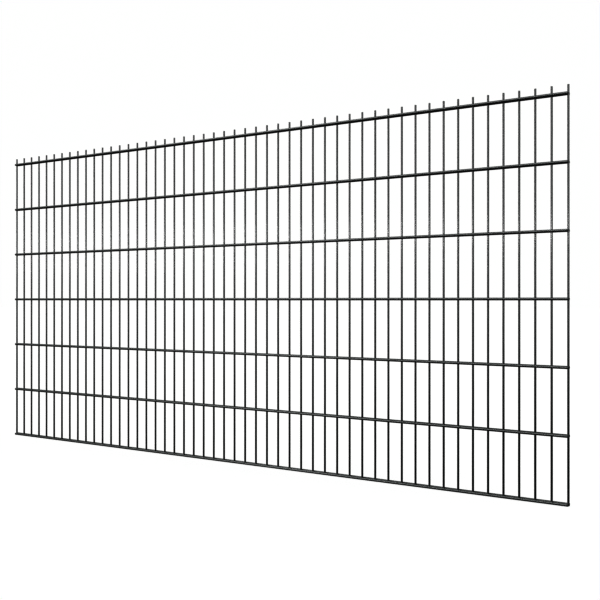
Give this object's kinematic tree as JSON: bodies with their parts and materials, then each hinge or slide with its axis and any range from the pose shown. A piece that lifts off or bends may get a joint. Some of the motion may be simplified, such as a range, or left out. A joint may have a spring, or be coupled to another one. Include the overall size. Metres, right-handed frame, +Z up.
{
  "type": "welded mesh fence panel",
  "caption": "Flat welded mesh fence panel: upright wires clamped between front and back level rods, with free wire tips along the top.",
  "frame": {"origin": "centre of the flat lower end of the middle upright wire, on the panel's mid plane at its lowest edge", "axes": "+Z up along the upright wires, +X along the level rods to the right as seen from the front, and the front faces -Y"},
  "size_m": [2.506, 0.0212, 1.23],
  "materials": {
    "powder_coat": "satin powder coat over galvanised steel"
  },
  "bodies": {
    "root": {"left_end_wire": "powder_coat", "right_end_wire": "powder_coat", "inner_wires_1": "powder_coat", "inner_wires_2": "powder_coat", "inner_wires_3": "powder_coat", "inner_wires_4": "powder_coat", "inner_wires_5": "powder_coat", "inner_wires_6": "powder_coat", "inner_wires_7": "powder_coat", "front_rod_1": "powder_coat", "front_rod_2": "powder_coat", "front_rod_3": "powder_coat", "front_rod_4": "powder_coat", "front_rod_5": "powder_coat", "front_rod_6": "powder_coat", "front_rod_7": "powder_coat", "back_rod_1": "powder_coat", "back_rod_2": "powder_coat", "back_rod_3": "powder_coat", "back_rod_4": "powder_coat", "back_rod_5": "powder_coat", "back_rod_6": "powder_coat", "back_rod_7": "powder_coat"}
  },
  "joints": []
}
